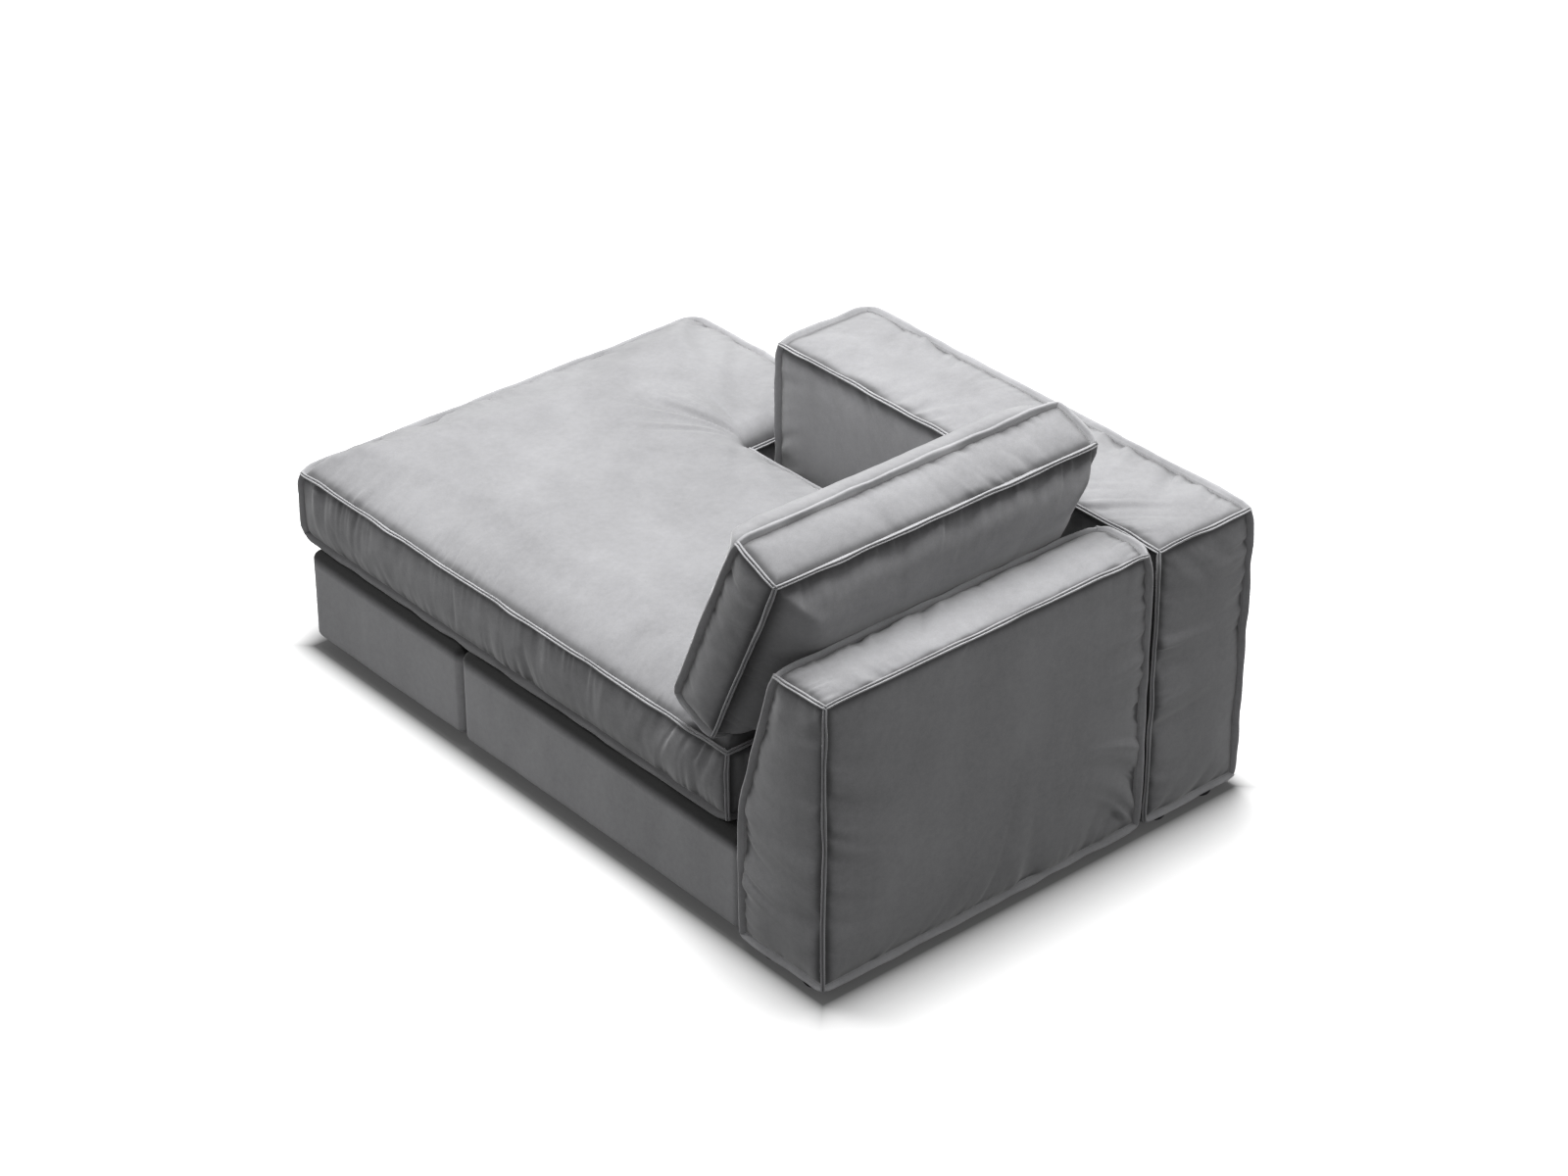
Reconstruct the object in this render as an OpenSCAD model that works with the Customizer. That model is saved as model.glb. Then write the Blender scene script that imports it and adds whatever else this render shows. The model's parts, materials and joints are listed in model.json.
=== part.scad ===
// Modular daybed: two upholstered base modules, a back panel and a side arm panel
// bolted together, an L-shaped seat cushion and a loose back cushion.
// +Y points to the head end, +X to the open side, and the floor is z = 0.

/* [Overall] */
// Width over the open side and the side arm
overall_w = 1100; // [900:10:1400]
// Length from the seat cushion's foot edge to the back panel's outer face
overall_l = 1694; // [1400:10:2100]
// Height of the feet
foot_h = 24; // [15:1:60]

/* [Base modules] */
// Height of a base module without its feet
base_h = 215; // [180:5:260]
// Distance that the seat cushion overhangs the foot module
seat_overhang = 54; // [20:1:80]
// Distance that the base stands back from the panels' outer faces
base_inset = 2; // [1:1:10]
// Gap between neighbouring modules
module_gap = 1; // [1:1:4]

/* [Back panel] */
// Thickness at the bottom
back_t = 240; // [200:5:280]
// Thickness at the top
back_top_t = 150; // [130:5:200]
// Height of the upright part of the inner face
back_knee_h = 300; // [280:5:360]
// Height of the back panel without its feet
back_h = 635; // [540:5:760]

/* [Side arm] */
// Thickness of the side arm
arm_t = 259; // [210:1:310]
// Length of the side arm
arm_l = 1115; // [930:5:1340]
// Height of the side arm without its feet
arm_h = 628; // [530:2:750]
// Gap between the side arm and the back panel
panel_gap = 14; // [6:1:20]

/* [Seat cushion] */
// Height of the seat cushion between its seams
seat_t = 159; // [130:1:190]
// Rise of the seat's crown above its top seam
seat_crown = 34; // [20:1:45]
// Gap between the seat cushion and the back panel
seat_head_gap = 58; // [30:1:80]
// Gap between the seat cushion and the side arm's inner face
seat_arm_gap = 41; // [20:1:60]
// Gap between the seat cushion and the side arm's foot end
seat_notch_gap = 26; // [10:1:40]
// Distance that the seat's open side stands back
seat_side_inset = 22; // [10:1:30]

/* [Back cushion] */
// Width of the back cushion
cushion_w = 808; // [670:2:970]
// Height of the back cushion between its seams
cushion_h = 456; // [380:2:540]
// Thickness of the back cushion between its seams
cushion_t = 126; // [105:1:150]
// Lean of the back cushion from upright, in degrees
cushion_lean = 23.8; // [15:0.2:30]
// Rise of the front and rear crowns over the seams
cushion_crown = 44; // [30:1:50]
// Distance that the back cushion's open end stands back
cushion_side_inset = 12; // [5:1:30]

/* [Upholstery] */
// Thickness of the velvet with its wadding
cover_t = 15; // [10:1:18]
// Thickness of the foam on the panels and bases
foam_t = 14; // [10:1:20]
// Thickness of the deck foam on the bases
deck_t = 24; // [15:1:30]
// Thickness of the dust covers
dust_t = 1.5; // [1:0.5:3]

/* [Frame] */
// Thickness of the wooden rails
rail_t = 22; // [18:1:28]
// Height of the panels' rails
rail_h = 60; // [50:1:70]
// Thickness of the panels' ribs
rib_t = 18; // [15:1:22]
// Thickness of the panels' boards
board_t = 4; // [3:1:6]
// Width of a webbing strap
strap_w = 50; // [40:1:70]
// Thickness of a webbing strap
strap_t = 2; // [1:0.5:3]

/* [Fasteners and zips] */
// Radius of a joining bolt
bolt_r = 4; // [3:0.5:6]
// Radius of a foot
foot_r = 24; // [18:1:30]
// Radius of a foot's screw
screw_r = 2.2; // [1.5:0.1:3]
// Width of a zip's tape
tape_w = 28; // [22:1:34]
// Thickness of a zip's tape
tape_t = 1.2; // [0.8:0.1:2]

/* [Hidden] */

velvet = [0.46, 0.46, 0.47];
wood = [0.72, 0.58, 0.40];
foam_colour = [0.90, 0.87, 0.74];
black_cloth = [0.10, 0.10, 0.11];
steel = [0.66, 0.67, 0.69];

clear = 0.3;            // running gap between bodies and round fasteners
cut = 1;                // how far a cutter passes beyond what it cuts

// Places of the modules
side_x = overall_w / 2;
head_y = overall_l / 2;
arm_x = -side_x;
arm_face_x = arm_x + arm_t;
arm_foot_y = head_y - arm_l;
back_face_y = head_y - back_t;
back_x = arm_face_x + panel_gap;
back_l = side_x - back_x;
base_top = foot_h + base_h;

// A base module is [x, y, width, length]
foot_base = [-side_x + base_inset, -head_y + seat_overhang,
    overall_w - 2 * base_inset, arm_foot_y - module_gap + head_y - seat_overhang];
head_base = [arm_face_x + base_inset, arm_foot_y,
    side_x - arm_face_x - 2 * base_inset, back_face_y - base_inset - arm_foot_y];

// A panel is [length, bottom thickness, top thickness, knee height, height]
back_panel = [back_l, back_t, back_top_t, back_knee_h, back_h];
side_arm = [arm_l, arm_t, arm_t, arm_h / 2, arm_h];

// Layers inwards from a module's outer face
foam_in = cover_t;
board_in = cover_t + foam_t;
wood_in = board_in + board_t;
base_cover_t = 12;
base_foam_t = 8;
base_foam_z = 8;        // lower edge of the foam above the base's underside
base_wood_in = base_cover_t + base_foam_t;
rail_top = base_h - base_cover_t - deck_t - 2 * strap_t;

// Seat cushion
seat_z = base_top + module_gap;
seat_x1 = side_x - seat_side_inset;
seat_y0 = -head_y;
seat_y1 = back_face_y - seat_head_gap;
notch_x = arm_face_x + seat_arm_gap;
notch_y = arm_foot_y - seat_notch_gap;
crown_in = 120;         // inset of the crown's plateau from the seams
loft = 14;              // extra wadding in the covers under the crowns
seat_zip_z = seat_z + seat_t / 2;
seat_zip_end = 90;      // distance of the zip's ends from the cushion's corners
seat_zip_l = seat_y1 - notch_y - 2 * seat_zip_end;

// Back cushion, in its own frame: rear bottom edge at the origin, z up along the cushion
cushion_rear_y = seat_y1 - 33;
cushion_z = seat_z + seat_t + 14;
cushion_arm_gap = 18;   // least gap between the back cushion and the side arm
cushion_l = min(cushion_w, side_x - cushion_side_inset - arm_face_x - cushion_arm_gap);
cushion_x = side_x - cushion_side_inset - cushion_l;
cushion_in = 110;       // inset of the crowns' plateaus from the seams
cushion_rear_crown = cushion_crown + 12;
back_zip_end = 70;
back_zip_l = cushion_l - 2 * back_zip_end;
wrap_t = 18;            // fibre wrap round the back cushion's core
topper_t = 34;          // fibre topper over the seat's core

// Zips: the chain stands on the tape, and the slider runs over it
chain_w = 6;
chain_h = 2.2;
slider_l = 16;
slider_w = 12;
slider_wall = 1.4;
slit_w = 10;

// Fasteners
bolt_z = foot_h + 110;
bolt_in = 140;          // distance of a bolt from the end of the joint
head_h = 5;
head_r = bolt_r * 1.65;
washer_t = 2;
washer_r = bolt_r * 2.4;
nut_t = 7;
screw_head_r = screw_r * 2;
screw_head_h = 3;
screw_l = 42;
foot_in = 64;           // distance of a panel foot's axis from the panel's faces
foot_recess_r = screw_head_r + 2;
foot_recess_h = 12;

// ---- Panel space: x along the panel, y inwards from its outer face, z up ----

// Outline of a panel's section at a distance in from its outside, open at the bottom
function slope_n(p) = let (d = [p[2] - p[1], p[4] - p[3]]) [-d[1], d[0]] / norm(d);
function knee_z(p, d) = p[2] == p[1] ? p[3] - d : p[3] + d * (1 + slope_n(p)[0]) * slope_run(p)
    + d * slope_n(p)[1];
function slope_run(p) = (p[4] - p[3]) / (p[2] - p[1]);
function top_y(p, d) = p[1] + slope_n(p)[0] * d
    + (p[4] - p[3] - d - slope_n(p)[1] * d) / slope_run(p);
function top_edge_y(p, d) = p[2] == p[1] ? p[1] - d : top_y(p, d);
function section(p, d, z0 = 0) = [[d, z0], [p[1] - d, z0], [p[1] - d, knee_z(p, d)],
    [top_edge_y(p, d), p[4] - d], [d, p[4] - d]];

// Solid with a panel's section, its ends at a distance in from the panel's ends
module panel_solid(p, d, end_in, z0 = 0)
    translate([end_in, 0, 0])
        rotate([90, 0, 90])
            linear_extrude(p[0] - 2 * end_in)
                polygon(section(p, d, z0));

module panel_cover(p)
    difference() {
        panel_solid(p, 0, 0);
        panel_solid(p, cover_t, cover_t, -cut);
    }

module panel_foam(p)
    difference() {
        panel_solid(p, foam_in, foam_in, dust_t);
        panel_solid(p, board_in, board_in, -cut);
    }

module panel_rib(p, x)
    translate([x, 0, 0])
        rotate([90, 0, 90])
            linear_extrude(rib_t)
                polygon(section(p, wood_in, dust_t));

module panel_end_ribs(p) {
    panel_rib(p, board_in);
    panel_rib(p, p[0] - board_in - rib_t);
}

// Bottom and top rails lie against the boards, on both sides
module panel_rails(p)
    for (z = [dust_t + 70, p[4] - wood_in - rail_h - 30]) {
        translate([board_in + rib_t, wood_in, z])
            cube([p[0] - 2 * board_in - 2 * rib_t, rail_t, rail_h]);
        translate([board_in + rib_t, inner_y(p, z + rail_h) - rail_t, z])
            cube([p[0] - 2 * board_in - 2 * rib_t, rail_t, rail_h]);
    }

// Inner side of the boards at a height
function inner_y(p, z) = z <= knee_z(p, wood_in) ? p[1] - wood_in
    : top_edge_y(p, wood_in) + (p[1] - wood_in - top_edge_y(p, wood_in))
    * (p[4] - wood_in - z) / (p[4] - wood_in - knee_z(p, wood_in));

module panel_middle_rib(p)
    difference() {
        panel_rib(p, (p[0] - rib_t) / 2);
        panel_rails(p);
    }

// Hardboard on both sides, cut from the layer between the foam and the ribs
module panel_board_layer(p)
    difference() {
        panel_solid(p, board_in, board_in, dust_t);
        panel_solid(p, wood_in, board_in - cut, -cut);
    }

module panel_side_boards(p)
    difference() {
        panel_board_layer(p);
        translate([0, 0, p[4] - wood_in])
            cube([p[0], p[1], wood_in]);
    }

module panel_top_board(p)
    intersection() {
        panel_board_layer(p);
        translate([0, 0, p[4] - wood_in])
            cube([p[0], p[1], wood_in]);
    }

module panel_dust_cover(p)
    difference() {
        translate([foam_in, foam_in, 0])
            cube([p[0] - 2 * foam_in, p[1] - 2 * foam_in, dust_t]);
        for (at = panel_feet(p))
            translate([at[0], at[1], -cut])
                cylinder(h = dust_t + 2 * cut, r = screw_r + clear, $fn = 32);
    }

// A panel's feet stand under its end ribs, and their screws go up into them
function panel_feet(p) = let (x = board_in + rib_t / 2)
    [for (x = [x, p[0] - x], y = [foot_in, p[1] - foot_in]) [x, y]];

module on_back()
    translate([back_x, head_y, foot_h])
        mirror([0, 1, 0])
            children();

module on_arm()
    translate([arm_x, arm_foot_y, foot_h])
        mirror([1, -1, 0])
            children();

// ---- Base modules, in the shared frame ----

module base_block(b, d, z0, z1)
    translate([b[0] + d, b[1] + d, foot_h + z0])
        cube([b[2] - 2 * d, b[3] - 2 * d, z1 - z0]);

module base_cover(b)
    difference() {
        base_block(b, 0, 0, base_h);
        base_block(b, base_cover_t, -cut, base_h - base_cover_t);
    }

module base_foam(b)
    difference() {
        base_block(b, base_cover_t, base_foam_z, base_h - base_cover_t);
        base_block(b, base_wood_in, -cut, rail_top + 2 * strap_t);
    }

module base_side_rails(b)
    for (x = [b[0] + base_wood_in, b[0] + b[2] - base_wood_in - rail_t])
        translate([x, b[1] + base_wood_in, foot_h + dust_t])
            cube([rail_t, b[3] - 2 * base_wood_in, rail_top + strap_t - dust_t]);

module base_end_rails(b)
    for (y = [b[1] + base_wood_in, b[1] + b[3] - base_wood_in - rail_t])
        translate([b[0] + base_wood_in + rail_t, y, foot_h + dust_t])
            cube([b[2] - 2 * base_wood_in - 2 * rail_t, rail_t, rail_top - dust_t]);

module base_centre_rail(b)
    translate([b[0] + (b[2] - rail_t) / 2, b[1] + base_wood_in + rail_t, foot_h + dust_t])
        cube([rail_t, b[3] - 2 * base_wood_in - 2 * rail_t, rail_top - 40]);

module base_corner_blocks(b)
    difference() {
        for (at = base_feet(b))
            translate([at[0] - block_half, at[1] - block_half, foot_h + dust_t])
                cube([2 * block_half, 2 * block_half, rail_top - 60]);
        foot_holes();
    }

// A block fills the corner between the rails, and a foot's axis runs up its middle
block_half = 19;
function base_feet(b) = let (d = base_wood_in + rail_t + block_half)
    [for (x = [b[0] + d, b[0] + b[2] - d], y = [b[1] + d, b[1] + b[3] - d]) [x, y]];

function strap_count(span) = floor(span / (strap_w * 1.7));

module base_long_webbing(b) {
    span = b[2] - 2 * base_wood_in - 2 * rail_t;
    count = strap_count(span);
    for (i = [0:count - 1])
        translate([b[0] + base_wood_in + rail_t + span * (i + 0.5) / count - strap_w / 2,
                b[1] + base_wood_in, foot_h + rail_top])
            cube([strap_w, b[3] - 2 * base_wood_in, strap_t]);
}

module base_cross_webbing(b) {
    span = b[3] - 2 * base_wood_in - 2 * rail_t;
    count = strap_count(span);
    for (i = [0:count - 1])
        translate([b[0] + base_wood_in, b[1] + base_wood_in + rail_t
                + span * (i + 0.5) / count - strap_w / 2, foot_h + rail_top + strap_t])
            cube([b[2] - 2 * base_wood_in, strap_w, strap_t]);
}

module base_dust_cover(b)
    difference() {
        base_block(b, base_wood_in, 0, dust_t);
        foot_holes();
    }

// ---- Feet and fasteners ----

// Every foot's place on the floor
FEET = concat(base_feet(foot_base), base_feet(head_base),
    [for (at = panel_feet(back_panel)) [back_x + at[0], head_y - at[1]]],
    [for (at = panel_feet(side_arm)) [arm_x + at[1], arm_foot_y + at[0]]]);

module foot_holes()
    for (at = FEET)
        translate([at[0], at[1], foot_h - cut])
            cylinder(h = screw_l, r = screw_r + clear, $fn = 32);

// A foot is a disc with a slight taper at its sole and a recess for its screw
module feet()
    color("#18181a")
        for (at = FEET)
            translate([at[0], at[1], 0])
                difference() {
                    union() {
                        cylinder(h = 3, r = foot_r - 2, $fn = 64);
                        translate([0, 0, 3])
                            cylinder(h = foot_h - 3, r = foot_r, $fn = 64);
                    }
                    translate([0, 0, -cut])
                        cylinder(h = foot_recess_h + cut, r = foot_recess_r, $fn = 48);
                    cylinder(h = foot_h + cut, r = screw_r + clear, $fn = 32);
                }

module foot_screws()
    color(steel)
        for (at = FEET)
            translate([at[0], at[1], foot_recess_h - screw_head_h])
                union() {
                    cylinder(h = screw_head_h, r = screw_head_r, $fn = 32);
                    cylinder(h = screw_l - foot_recess_h, r = screw_r, $fn = 32);
                }

// A bolt runs from start towards the panel or module that it clamps.
// A joint is [start point, turn about z, clamped length]
stack_in = base_wood_in + rail_t;
function panel_stack() = stack_in + base_inset + wood_in + rail_t;
function base_stack() = 2 * stack_in + module_gap;
hb_x1 = head_base[0] + head_base[2];
hb_y1 = head_base[1] + head_base[3];
PANEL_JOINTS = concat(
    [for (x = [head_base[0] + bolt_in, hb_x1 - bolt_in])
        [[x, hb_y1 - stack_in, bolt_z], 90, panel_stack()]],
    [for (y = [head_base[1] + bolt_in, hb_y1 - bolt_in])
        [[head_base[0] + stack_in, y, bolt_z], 180, panel_stack()]]);
BASE_JOINTS = [for (x = [head_base[0] + bolt_in, hb_x1 - bolt_in])
    [[x, head_base[1] + stack_in, bolt_z], -90, base_stack()]];
JOINTS = concat(PANEL_JOINTS, BASE_JOINTS);

// Moves a piece drawn along +x from the origin to a joint
module at_joint(j)
    translate(j[0])
        rotate([0, 0, j[1]])
            rotate([0, 90, 0])
                children();

module bolt_holes()
    for (j = JOINTS)
        at_joint(j)
            translate([0, 0, -cut])
                cylinder(h = j[2] + 2 * cut, r = bolt_r + clear, $fn = 48);

module bolt(j)
    at_joint(j) {
        translate([0, 0, -washer_t - head_h])
            cylinder(h = head_h, r = head_r, $fn = 48);
        translate([0, 0, -washer_t - head_h / 2])
            cylinder(h = washer_t + head_h / 2 + j[2] + washer_t + nut_t + 3, r = bolt_r,
                $fn = 48);
    }

module panel_bolts()
    color(steel)
        for (j = PANEL_JOINTS)
            bolt(j);

module base_bolts()
    color(steel)
        for (j = BASE_JOINTS)
            bolt(j);

module bolt_washers()
    color(steel)
        for (j = JOINTS, z = [-washer_t, j[2]])
            at_joint(j)
                translate([0, 0, z])
                    difference() {
                        cylinder(h = washer_t, r = washer_r, $fn = 48);
                        translate([0, 0, -cut])
                            cylinder(h = washer_t + 2 * cut, r = bolt_r + clear, $fn = 48);
                    }

module bolt_nuts()
    color(steel)
        for (j = JOINTS)
            at_joint(j)
                translate([0, 0, j[2] + washer_t])
                    difference() {
                        cylinder(h = nut_t, r = bolt_r * 1.9, $fn = 6);
                        translate([0, 0, -cut])
                            cylinder(h = nut_t + 2 * cut, r = bolt_r + clear / 10, $fn = 48);
                    }

// ---- Cushions ----

// A pad whose top and bottom rise from the seams to plateaus: size, rises, inset
module crowned_pad(size, rise_down, rise_up, inset) {
    seam = min(inset, min(size[0], size[1]) / 3);
    hull() {
        cube(size);
        translate([seam, seam, -rise_down])
            cube([size[0] - 2 * seam, size[1] - 2 * seam, size[2] + rise_down + rise_up]);
    }
}

// The L-shaped seat at a distance in from its outside
module seat_pad(d, z0, z1, crown)
    union() {
        translate([-side_x + d, seat_y0 + d, z0])
            crowned_pad([seat_x1 + side_x - 2 * d, notch_y - seat_y0 - 2 * d, z1 - z0],
                0, crown, crown_in);
        translate([notch_x + d, seat_y0 + d, z0])
            crowned_pad([seat_x1 - notch_x - 2 * d, seat_y1 - seat_y0 - 2 * d, z1 - z0],
                0, crown, crown_in);
    }

// Zip space: x along the zip, y across it, z outwards from the cushion's face
module zip_tape(l)
    union() {
        translate([0, -tape_w / 2, -tape_t])
            cube([l, tape_w, tape_t]);
        translate([0, -chain_w / 2, -tape_t / 2])
            cube([l, chain_w, chain_h + tape_t / 2]);
    }

module zip_slider()
    translate([slider_l, 0, 0])
        difference() {
            translate([0, -slider_w / 2, clear])
                cube([slider_l, slider_w, chain_h + slider_wall]);
            translate([-cut, -chain_w / 2 - clear, 0])
                cube([slider_l + 2 * cut, chain_w + 2 * clear, chain_h + clear]);
        }

// The recess for a tape and the slit behind it
module zip_pocket(l) {
    translate([0, -tape_w / 2, -tape_t])
        cube([l, tape_w, 2 * cut + tape_t]);
    translate([10, -slit_w / 2, -cover_t - cut])
        cube([l - 20, slit_w, cover_t + 2 * cut]);
}

// The seat's zip runs along the band beside the side arm
module at_seat_zip()
    translate([notch_x, notch_y + seat_zip_end, seat_zip_z])
        rotate([0, 0, 90])
            rotate([-90, 0, 0])
                children();

// The back cushion's frame
module at_cushion()
    translate([cushion_x, cushion_rear_y, cushion_z])
        rotate([-cushion_lean, 0, 0])
            translate([0, -cushion_t, 0])
                children();

// The back cushion's zip runs along its underside
module at_back_zip()
    at_cushion()
        translate([back_zip_end, cushion_t / 2, 0])
            mirror([0, 0, 1])
                children();

// Drawn lying on its front face, then stood up
module cushion_pad(d, rise_front, rise_rear)
    translate([0, cushion_t, 0])
        rotate([90, 0, 0])
            translate([d, d, d])
                crowned_pad([cushion_l - 2 * d, cushion_h - 2 * d, cushion_t - 2 * d],
                    rise_rear, rise_front, cushion_in);

// The back cushion's filling at a distance in from its outside
module filling(d)
    at_cushion()
        cushion_pad(d, cushion_crown - loft, cushion_rear_crown - loft);

// ---- Nodes ----

module foot_base_cover()
    color(velvet)
        difference() {
            base_cover(foot_base);
            bolt_holes();
        }

module foot_base_foam()
    color(foam_colour)
        difference() {
            base_foam(foot_base);
            bolt_holes();
        }

module foot_base_side_rails()
    color(wood)
        base_side_rails(foot_base);

module foot_base_end_rails()
    color(wood)
        difference() {
            base_end_rails(foot_base);
            bolt_holes();
        }

module foot_base_centre_rail()
    color(wood)
        base_centre_rail(foot_base);

module foot_base_corner_blocks()
    color(wood)
        base_corner_blocks(foot_base);

module foot_base_long_webbing()
    color(black_cloth)
        base_long_webbing(foot_base);

module foot_base_cross_webbing()
    color(black_cloth)
        base_cross_webbing(foot_base);

module foot_base_dust_cover()
    color(black_cloth)
        base_dust_cover(foot_base);

module head_base_cover()
    color(velvet)
        difference() {
            base_cover(head_base);
            bolt_holes();
        }

module head_base_foam()
    color(foam_colour)
        difference() {
            base_foam(head_base);
            bolt_holes();
        }

module head_base_side_rails()
    color(wood)
        difference() {
            base_side_rails(head_base);
            bolt_holes();
        }

module head_base_end_rails()
    color(wood)
        difference() {
            base_end_rails(head_base);
            bolt_holes();
        }

module head_base_centre_rail()
    color(wood)
        base_centre_rail(head_base);

module head_base_corner_blocks()
    color(wood)
        base_corner_blocks(head_base);

module head_base_long_webbing()
    color(black_cloth)
        base_long_webbing(head_base);

module head_base_cross_webbing()
    color(black_cloth)
        base_cross_webbing(head_base);

module head_base_dust_cover()
    color(black_cloth)
        base_dust_cover(head_base);

module back_panel_cover()
    color(velvet)
        difference() {
            on_back() panel_cover(back_panel);
            bolt_holes();
        }

module back_panel_foam()
    color(foam_colour)
        difference() {
            on_back() panel_foam(back_panel);
            bolt_holes();
        }

module back_panel_end_ribs()
    color(wood)
        difference() {
            on_back() panel_end_ribs(back_panel);
            foot_holes();
        }

module back_panel_middle_rib()
    color(wood)
        on_back() panel_middle_rib(back_panel);

module back_panel_rails()
    color(wood)
        difference() {
            on_back() panel_rails(back_panel);
            bolt_holes();
        }

module back_panel_side_boards()
    color(wood)
        difference() {
            on_back() panel_side_boards(back_panel);
            bolt_holes();
        }

module back_panel_top_board()
    color(wood)
        on_back() panel_top_board(back_panel);

module back_panel_dust_cover()
    color(black_cloth)
        on_back() panel_dust_cover(back_panel);

module side_arm_cover()
    color(velvet)
        difference() {
            on_arm() panel_cover(side_arm);
            bolt_holes();
        }

module side_arm_foam()
    color(foam_colour)
        difference() {
            on_arm() panel_foam(side_arm);
            bolt_holes();
        }

module side_arm_end_ribs()
    color(wood)
        difference() {
            on_arm() panel_end_ribs(side_arm);
            foot_holes();
        }

module side_arm_middle_rib()
    color(wood)
        on_arm() panel_middle_rib(side_arm);

module side_arm_rails()
    color(wood)
        difference() {
            on_arm() panel_rails(side_arm);
            bolt_holes();
        }

module side_arm_side_boards()
    color(wood)
        difference() {
            on_arm() panel_side_boards(side_arm);
            bolt_holes();
        }

module side_arm_top_board()
    color(wood)
        on_arm() panel_top_board(side_arm);

module side_arm_dust_cover()
    color(black_cloth)
        on_arm() panel_dust_cover(side_arm);

module seat_cushion_cover()
    color(velvet)
        difference() {
            seat_pad(0, seat_z, seat_z + seat_t, seat_crown);
            seat_pad(cover_t, seat_z + cover_t, seat_z + seat_t - cover_t, seat_crown - loft);
            at_seat_zip() zip_pocket(seat_zip_l);
        }

module seat_cushion_core()
    color(foam_colour)
        seat_pad(cover_t, seat_z + cover_t, seat_z + seat_t - topper_t, 0);

module seat_cushion_topper()
    color("white")
        seat_pad(cover_t, seat_z + seat_t - topper_t, seat_z + seat_t - cover_t,
            seat_crown - loft);

module seat_zip_tape()
    color(black_cloth)
        at_seat_zip() zip_tape(seat_zip_l);

module seat_zip_slider()
    color(steel)
        at_seat_zip() zip_slider();

module back_cushion_cover()
    color(velvet)
        difference() {
            at_cushion() cushion_pad(0, cushion_crown, cushion_rear_crown);
            filling(cover_t);
            at_back_zip() zip_pocket(back_zip_l);
        }

module back_cushion_core()
    color(foam_colour)
        filling(cover_t + wrap_t);

module back_cushion_wrap()
    color("white")
        difference() {
            filling(cover_t);
            filling(cover_t + wrap_t);
        }

module back_zip_tape()
    color(black_cloth)
        at_back_zip() zip_tape(back_zip_l);

module back_zip_slider()
    color(steel)
        at_back_zip() zip_slider();

foot_base_cover();
foot_base_foam();
foot_base_side_rails();
foot_base_end_rails();
foot_base_centre_rail();
foot_base_corner_blocks();
foot_base_long_webbing();
foot_base_cross_webbing();
foot_base_dust_cover();
head_base_cover();
head_base_foam();
head_base_side_rails();
head_base_end_rails();
head_base_centre_rail();
head_base_corner_blocks();
head_base_long_webbing();
head_base_cross_webbing();
head_base_dust_cover();
back_panel_cover();
back_panel_foam();
back_panel_end_ribs();
back_panel_middle_rib();
back_panel_rails();
back_panel_side_boards();
back_panel_top_board();
back_panel_dust_cover();
side_arm_cover();
side_arm_foam();
side_arm_end_ribs();
side_arm_middle_rib();
side_arm_rails();
side_arm_side_boards();
side_arm_top_board();
side_arm_dust_cover();
feet();
foot_screws();
panel_bolts();
base_bolts();
bolt_washers();
bolt_nuts();
seat_cushion_cover();
seat_cushion_core();
seat_cushion_topper();
seat_zip_tape();
seat_zip_slider();
back_cushion_cover();
back_cushion_core();
back_cushion_wrap();
back_zip_tape();
back_zip_slider();
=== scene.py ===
# Looks for a modular velvet daybed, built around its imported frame.
import json
import math
import bmesh
import bpy
import numpy as np
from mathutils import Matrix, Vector


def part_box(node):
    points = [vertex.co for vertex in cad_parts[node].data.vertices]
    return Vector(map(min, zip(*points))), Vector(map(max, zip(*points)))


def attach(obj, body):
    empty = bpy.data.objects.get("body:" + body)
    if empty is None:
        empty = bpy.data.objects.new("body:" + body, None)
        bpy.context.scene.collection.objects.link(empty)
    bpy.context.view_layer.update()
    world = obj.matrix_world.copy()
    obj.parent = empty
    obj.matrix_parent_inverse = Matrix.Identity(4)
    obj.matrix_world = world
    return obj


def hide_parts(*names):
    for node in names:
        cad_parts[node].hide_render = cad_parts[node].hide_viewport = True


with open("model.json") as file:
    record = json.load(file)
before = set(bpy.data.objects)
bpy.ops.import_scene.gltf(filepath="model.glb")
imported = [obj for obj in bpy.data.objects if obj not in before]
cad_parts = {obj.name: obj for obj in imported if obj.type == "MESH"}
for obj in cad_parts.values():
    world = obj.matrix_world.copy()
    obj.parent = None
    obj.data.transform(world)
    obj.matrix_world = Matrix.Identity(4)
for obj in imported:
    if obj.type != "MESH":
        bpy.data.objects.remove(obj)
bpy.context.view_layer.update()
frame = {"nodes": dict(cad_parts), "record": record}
nodes = frame["nodes"]
scene = bpy.context.scene
tiny = 0.00001                               # how far off a face a point may be and still lie on it


# Places taken from the frame, in metres

def lowHigh(node):
    low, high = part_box(node)
    return np.array(low), np.array(high)


seatLow, seatHigh = lowHigh("seat_cushion_cover")
panelLow, panelHigh = lowHigh("back_panel_cover")
armLow, armHigh = lowHigh("side_arm_cover")
footBaseLow, footBaseHigh = lowHigh("foot_base_cover")
headBaseLow, headBaseHigh = lowHigh("head_base_cover")
seatZipLow, seatZipHigh = lowHigh("seat_zip_tape")


# Camera and studio

camera = {"place": (4.3785, 5.1876, 4.4612), "yaw": 139.3, "pitch": 31.55, "lens": 89.93}


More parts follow.
